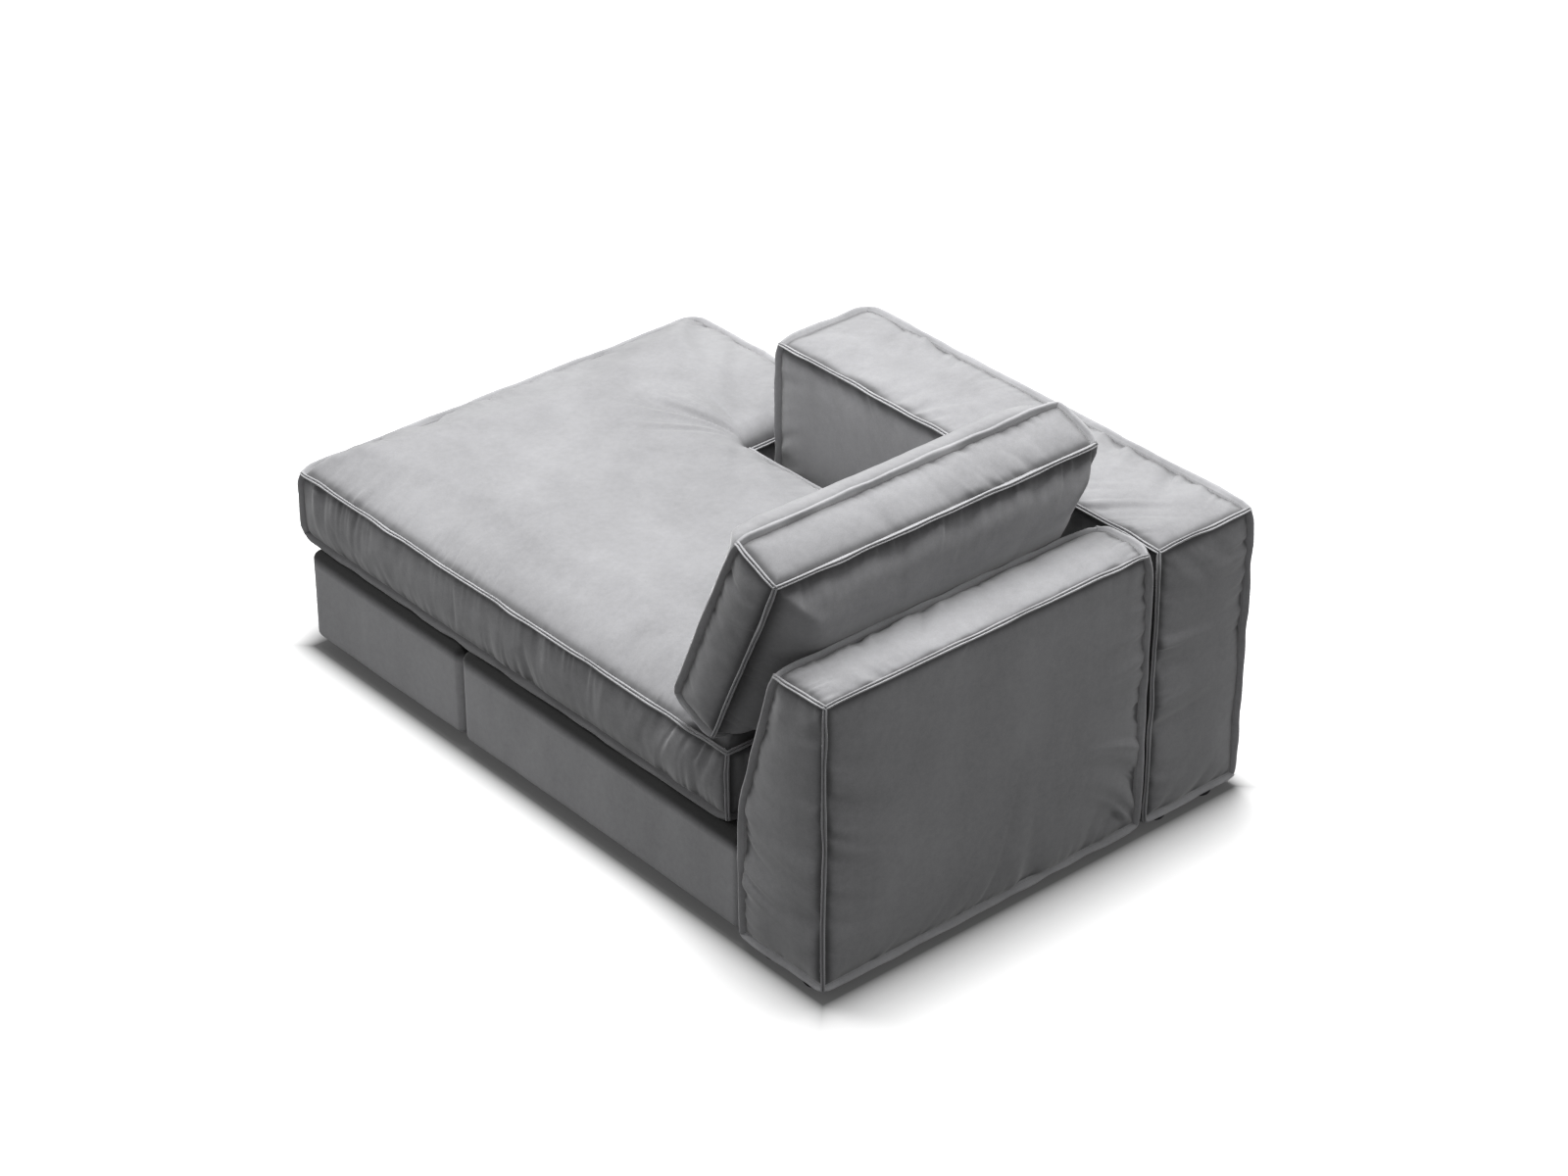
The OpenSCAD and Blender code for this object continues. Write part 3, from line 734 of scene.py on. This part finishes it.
def paddedSlab(name, body, replaced, v, outline, thickness, toWorld, skip=(), extra=None):
    corners = np.array(outline)

    def ticks(values):
        marks = sorted(set(round(float(x), 6) for x in values))
        rows = [marks[-1:]]
        for p, q in zip(marks, marks[1:]):
            p1, q1 = p + v["edge"], q - v["edge"]
            rows += [[p], np.linspace(p1, q1, max(1, round((q1 - p1) / v["cell"])) + 1)]
        return np.sort(np.concatenate(rows))

    a, b, c = ticks(corners[:, 0]), ticks(corners[:, 1]), ticks([0, thickness])
    mesh = slabMesh(name, a, b, c, outline)
    item = addObject(name, mesh)
    rest = readPoints(mesh)
    data = mesh.attributes.new("rest", "FLOAT_VECTOR", "POINT")
    data.data.foreach_set("vector", np.asarray(rest, np.float32).ravel())
    seams = seamDistance(rest, outline, thickness) < tiny
    pinned = seams | v["flat"](rest)
    away = seamDistance(rest, outline, thickness, v.get("steep"))
    sheet = (rest[:, 2] > thickness - tiny) | (rest[:, 2] < tiny)
    rise = np.where(sheet, v["crown"], v["bandCrown"]) * (1 - np.exp(-away / v["shoulder"]))
    writePoints(mesh, rest + vertexNormals(mesh) * np.where(pinned, 0, rise)[:, None])
    if v["frames"]:
        inflate(item, pinned, v)
    mesh = divide(item, outline, thickness, v["levels"])
    rest = readPoints(mesh, "rest")
    wave = slabCreases(rest, outline, thickness, v, v["seed"])
    if extra is not None:
        wave = wave + extra(rest)
    near = seamDistance(rest, outline, thickness)
    wave += v["roll"] * (1 - np.exp(-near / 0.005))
    points, normals = readPoints(mesh), vertexNormals(mesh)
    lift = np.maximum(np.sum((points - rest) * normals, axis=1), 0)
    wave = np.where(v["flat"](rest), 0, np.maximum(wave, -lift - 0.0005))
    points = points + normals * wave[:, None]
    if "zip" in v:
        points = zipStrip(points, rest, outline, thickness, v["zip"])
    points += cornerPull(rest, outline, thickness, v["pull"])
    writePoints(mesh, toWorld(points))
    outwards(mesh)
    smooth(mesh)
    mesh.materials.clear()
    mesh.materials.append(velvetCover)
    runs = seamRuns(mesh, rest, toWorld, outline, thickness, flange["reach"], skip,
                    v.get("shadeLowerFlange", False))
    mesh.attributes.remove(mesh.attributes["rest"])
    # Painted shade: the colour darkens towards the seams, for the grooves beside the flanges.
    paintShadeAttribute(mesh, np.exp(-(near / flange["shadeReach"]) ** 2))
    doneWith(item, body, replaced)
    lips = doneWith(makeFlange(name + "Flange", runs, flange, velvetFlangePaintedHighlight), body)
    rows = doneWith(makeStitches(name + "Stitches", runs, stitch, flange), body)
    print("stage:", name, len(mesh.polygons), "faces")
    return item, lips, rows


def nowhere(rest):
    return np.zeros(len(rest), bool)


def bottomEdge(rest):
    return rest[:, 1] < tiny


# Seat cushion

seat = {
    "cell": 0.017, "edge": 0.007, "levels": 2, "seed": 3, "fill": 0.7,
    "crown": 0.047, "bandCrown": 0.009, "shoulder": 0.040, "roll": 0.0035,
    "cap": 0.010, "pressure": 1.5, "slack": 0.004, "bend": 0.4, "frames": 14,
    "folds": [(0.050, 0.0110, 0.120), (0.021, 0.0100, 0.080), (0.0100, 0.0075, 0.055)], "tilt": 0.45,
    "top": 0.75, "bottom": 0.0, "bandTop": 1.0, "bandBottom": 0.5, "corner": 0.35,
    "seamTop": 0.159, "zipEnd": 0.09, "steep": {0: 1.8, 3: 4.0, 4: 2.2}, "fan": 0.0110, "notchBulge": 0.016,
    # The seat's lower flange loop is painted darker, as shade.
    "shadeLowerFlange": True, "pull": {0: (0.032, 0.004), 1: (0.036, 0.005), 2: (0.030, 0.003)},
    "zipHalf": 0.015, "zipInset": 0.0014, "dent": 0.013, "dentAt": 0.455, "dentWide": 0.060,
    "fanAngle": -72, "fanSpread": 0.55, "fanMiddle": 0.13, "fanReach": 0.10,
}


def makeSeat(v):
    low = seatLow + inset
    high = seatHigh - inset
    seamTop = seatLow[2] + v["seamTop"] - inset
    notchX = seatZipHigh[0] - tapeThick + inset
    notchY = seatZipLow[1] - v["zipEnd"] - inset
    size = high - low
    thickness = seamTop - low[2]
    nx, ny = notchX - low[0], notchY - low[1]
    outline = [(0.0, 0.0), (size[0], 0.0), (size[0], size[1]), (nx, size[1]), (nx, ny), (0.0, ny)]
    v["flat"] = lambda rest: rest[:, 2] < tiny
    v["zip"] = {"edge": 3, "at": (seatZipLow[2] + seatZipHigh[2]) / 2 - low[2], "half": v["zipHalf"],
                "end": v["zipEnd"] - inset - 0.01, "height": inset - v["zipInset"]}

    def toWorld(p):
        return p + low

    def fan(rest):
        d = rest[:, :2] - np.array([nx, ny])
        r = np.hypot(d[:, 0], d[:, 1])
        angle = np.arctan2(d[:, 1], d[:, 0])
        window = np.exp(-((angle - math.radians(v["fanAngle"])) / v["fanSpread"]) ** 4)
        ridges = smoothNoise(angle, 55, 0.13) + 0.5 * smoothNoise(angle, 56, 0.07)
        grow = np.exp(-((r - v["fanMiddle"]) / v["fanReach"]) ** 2) * np.clip(r / 0.04, 0, 1)
        onTop = rest[:, 2] > thickness - tiny
        onBand = (np.abs(d[:, 0]) < tiny) & (d[:, 1] > 0) & ~onTop
        bulge = v["notchBulge"] * (1 - np.exp(-seamDistance(rest, outline, thickness) / 0.03))
        under = (low[1] + rest[:, 1] - v["dentAt"]) / v["dentWide"]
        dent = v["dent"] * np.exp(-under ** 2) * np.clip((rest[:, 0] - nx) / 0.08, 0, 1)
        return np.where(onTop, v["fan"] * ridges * grow * window - dent, 0) + np.where(onBand, bulge, 0)

    return paddedSlab("seatCushion", "seat_cushion", ["seat_cushion_cover"], v, outline, thickness,
                      toWorld, skip=(4,), extra=fan)


makeSeat(seat)


# Back cushion

cushion = {
    "cell": 0.015, "edge": 0.006, "levels": 2, "seed": 11, "fill": 0.75, "lean": 23.8,
    "crown": 0.065, "bandCrown": 0.014, "shoulder": 0.026, "roll": 0.0030,
    "cap": 0.010, "pressure": 1.5, "slack": 0.004, "bend": 0.4, "frames": 14,
    "folds": [(0.040, 0.0080, 0.090), (0.018, 0.0055, 0.050), (0.0085, 0.0034, 0.028)], "tilt": 0.4,
    "top": 0.8, "bottom": 1.1, "bandTop": 0.9, "bandBottom": 0.9, "corner": 0.25,
    "pull": {e: (0.030, 0.003) for e in range(4)}, "puff": 0.015, "puffDown": 0.036,
    "puffWide": 0.030, "zipEnd": 0.07, "zipHalf": 0.015, "zipInset": 0.0014,
}


def makeBackCushion(v):
    lean = math.radians(v["lean"])
    up = np.array([0, math.sin(lean), math.cos(lean)])
    out = np.array([0, -math.cos(lean), math.sin(lean)])
    mesh = nodes["back_cushion_cover"].data
    points = readPoints(mesh)
    b, c = points @ up, points @ out
    ends = np.abs(b - b.min()) < 1e-4
    bLow, bHigh = b.min() + inset, b.max() - inset
    cLow, cHigh = c[ends].min() + inset, c[ends].max() - inset
    a0 = points[:, 0].min() + inset
    size = (points[:, 0].max() - inset - a0, bHigh - bLow)
    thickness = cHigh - cLow
    start = np.array([a0, 0, 0]) + up * bLow + out * cLow
    outline = [(0.0, 0.0), (size[0], 0.0), (size[0], size[1]), (0.0, size[1])]
    v["flat"] = nowhere
    v["zip"] = {"edge": 0, "at": thickness / 2, "half": v["zipHalf"], "end": v["zipEnd"] - inset - 0.01,
                "height": inset - v["zipInset"]}

    def puff(rest):
        down = size[1] - rest[:, 1]
        ends = np.clip(np.minimum(rest[:, 0], size[0] - rest[:, 0]) / 0.10, 0, 1)
        onFront = rest[:, 2] > thickness - tiny
        return np.where(onFront, v["puff"] * np.exp(-((down - v["puffDown"]) / v["puffWide"]) ** 2) * ends
                        * (1 - np.exp(-down / 0.012)), 0)

    def toWorld(p):
        return start + p[:, :1] * np.array([1.0, 0, 0]) + p[:, 1:2] * up + p[:, 2:3] * out

    return paddedSlab("backCushion", "back_cushion", ["back_cushion_cover"], v, outline, thickness,
                      toWorld, extra=puff)


makeBackCushion(cushion)


# Back panel and side arm

panel = {
    "cell": 0.018, "edge": 0.006, "levels": 2, "seed": 23, "fill": 0.9, "topWidth": 0.150, "knee": 0.300,
    "crown": 0.015, "bandCrown": 0.014, "shoulder": 0.038, "roll": 0.0035,
    "frames": 0,
    "folds": [(0.052, 0.0110, 0.120), (0.023, 0.0065, 0.080), (0.0110, 0.0042, 0.045)], "tilt": 0.8,
    "top": 0.7, "bottom": 1.25, "bandTop": 1.1, "bandBottom": 1.1, "corner": 0.8,
    "pull": {2: (0.036, 0.004), 3: (0.075, 0.010)},
}


def makeBackPanel(v):
    size = panelHigh - panelLow - 2 * inset
    wide, tall, deep = size[0], size[2], size[1]
    outline = [(0.0, 0.0), (wide, 0.0), (wide, tall), (0.0, tall)]
    knee = v["knee"] - inset
    thin = v["topWidth"] - 2 * inset
    v["flat"] = bottomEdge

    def deepAt(b):
        slope = (deep - thin) / (tall - knee)
        soft = 0.012
        over = soft * np.logaddexp(0, (b - knee) / soft)
        return deep - slope * over

    def toWorld(p):
        return np.stack([panelLow[0] + inset + p[:, 0],
                         panelHigh[1] - inset - p[:, 2] * deepAt(p[:, 1]) / deep,
                         panelLow[2] + inset + p[:, 1]], 1)

    return paddedSlab("backPanel", "frame", ["back_panel_cover"], v, outline, deep, toWorld)


makeBackPanel(panel)

arm = dict(panel, seed=41, pull={2: (0.034, 0.004), 3: (0.034, 0.004)})


def makeSideArm(v):
    size = armHigh - armLow - 2 * inset
    outline = [(0.0, 0.0), (size[1], 0.0), (size[1], size[2]), (0.0, size[2])]
    v["flat"] = bottomEdge

    def toWorld(p):
        return np.stack([armLow[0] + inset + p[:, 2], armLow[1] + inset + p[:, 0],
                         armLow[2] + inset + p[:, 1]], 1)

    return paddedSlab("sideArm", "frame", ["side_arm_cover"], v, outline, size[0], toWorld)


makeSideArm(arm)


# Base modules

# shadeReach is the depth of the painted shade along the base's top edge.
base = {"round": 0.021, "cell": 0.016, "edgeCell": 0.004, "wave": 0.0010, "shadeReach": 0.026}


def makeBase(name, low, high, node, v, seed):
    size = high - low
    r = v["round"]

    def ticks(length):
        edge = np.linspace(0, r, round(r / v["edgeCell"]) + 1)
        middle = np.linspace(r, length - r, round((length - 2 * r) / v["cell"]) + 1)
        return np.concatenate([edge[:-1], middle, length - edge[::-1][1:]])

    a, b, c = ticks(size[0]), ticks(size[1]), ticks(size[2])
    outline = [(0.0, 0.0), (size[0], 0.0), (size[0], size[1]), (0.0, size[1])]
    mesh = slabMesh(name, a, b, c, outline)
    p = readPoints(mesh)
    core = np.clip(p, r, size - r)
    away = unit(p - core)
    shape = core + away * r
    ripple = v["wave"] * smoothNoise(p[:, 0] + 0.6 * p[:, 1] + 0.3 * p[:, 2], seed, 0.13)
    ripple += v["wave"] * 0.6 * smoothNoise(p[:, 1] - 0.5 * p[:, 2], seed + 1, 0.09)
    shape += away * (ripple - v["wave"] * 1.6)[:, None]
    writePoints(mesh, shape + low)
    outwards(mesh)
    smooth(mesh)
    mesh.materials.append(velvetBase)
    # Painted shade: the base's top strip darkens almost to black, for the gap under the seat.
    paintShadeAttribute(mesh, 1.08 * np.exp(-((size[2] - p[:, 2]) / v["shadeReach"]) ** 4))
    item = addObject(name, mesh)
    doneWith(item, "frame", [node])
    print("stage:", name, len(mesh.polygons), "faces")


makeBase("footBase", footBaseLow, footBaseHigh, "foot_base_cover", base, 61)
makeBase("headBase", headBaseLow, headBaseHigh, "head_base_cover", base, 71)


# Finishes for the pieces that stay as the frame has them

def makePlain(name, dark, light, scale, roughness, metallic=0.0, bump=0.1, stretch=(1, 1, 1)):
    g = Graph(name)
    grain = g.noise(scale, 4, 0.6, g.stretched(stretch))
    ramp = g.add("ShaderNodeValToRGB", {"stops": [(0.3, dark), (0.7, light)]}, {"Fac": grain})
    height = g.add("ShaderNodeBump", {}, {"Strength": bump, "Distance": 0.001, "Height": grain})
    return g.finish({"Base Color": ramp, "Roughness": roughness + 0.1 * grain, "Metallic": metallic,
                     "Normal": height})


finishes = {
    "foam": makePlain("foam", (0.72, 0.66, 0.44, 1), (0.84, 0.79, 0.58, 1), 300, 0.9, bump=0.4),
    "fibre": makePlain("fibre", (0.78, 0.78, 0.76, 1), (0.9, 0.9, 0.89, 1), 90, 0.95, bump=0.5),
    "webbing": makePlain("webbing", (0.012, 0.012, 0.013, 1), (0.03, 0.03, 0.032, 1), 700, 0.8),
    "dust_cloth": makePlain("dustCloth", (0.008, 0.008, 0.009, 1), (0.02, 0.02, 0.021, 1), 500, 0.95),
    "softwood": makePlain("softwood", (0.50, 0.32, 0.15, 1), (0.66, 0.46, 0.25, 1), 14, 0.6,
                          stretch=(6, 6, 1)),
    "plywood": makePlain("plywood", (0.52, 0.36, 0.19, 1), (0.62, 0.46, 0.27, 1), 24, 0.6),
    "hardboard": makePlain("hardboard", (0.12, 0.065, 0.03, 1), (0.17, 0.10, 0.05, 1), 160, 0.55),
    "black_plastic": makePlain("blackPlastic", (0.012, 0.012, 0.013, 1), (0.022, 0.022, 0.024, 1), 500,
                               0.45),
    "zip_tape": makePlain("zipTape", (0.09, 0.09, 0.092, 1), (0.15, 0.15, 0.153, 1), 900, 0.8),
    "zip_metal": makePlain("zipMetal", (0.16, 0.16, 0.165, 1), (0.24, 0.24, 0.245, 1), 200, 0.3, 1.0),
    "zinc_steel": makePlain("zincSteel", (0.55, 0.56, 0.58, 1), (0.68, 0.69, 0.71, 1), 120, 0.35, 1.0),
    "velvet": velvetCover,
}
for entry in frame["record"]["subparts"]:
    item = nodes[entry["node"]]
    item.data.materials.clear()
    item.data.materials.append(finishes[entry["material_slot"]])
print("stage: finishes")
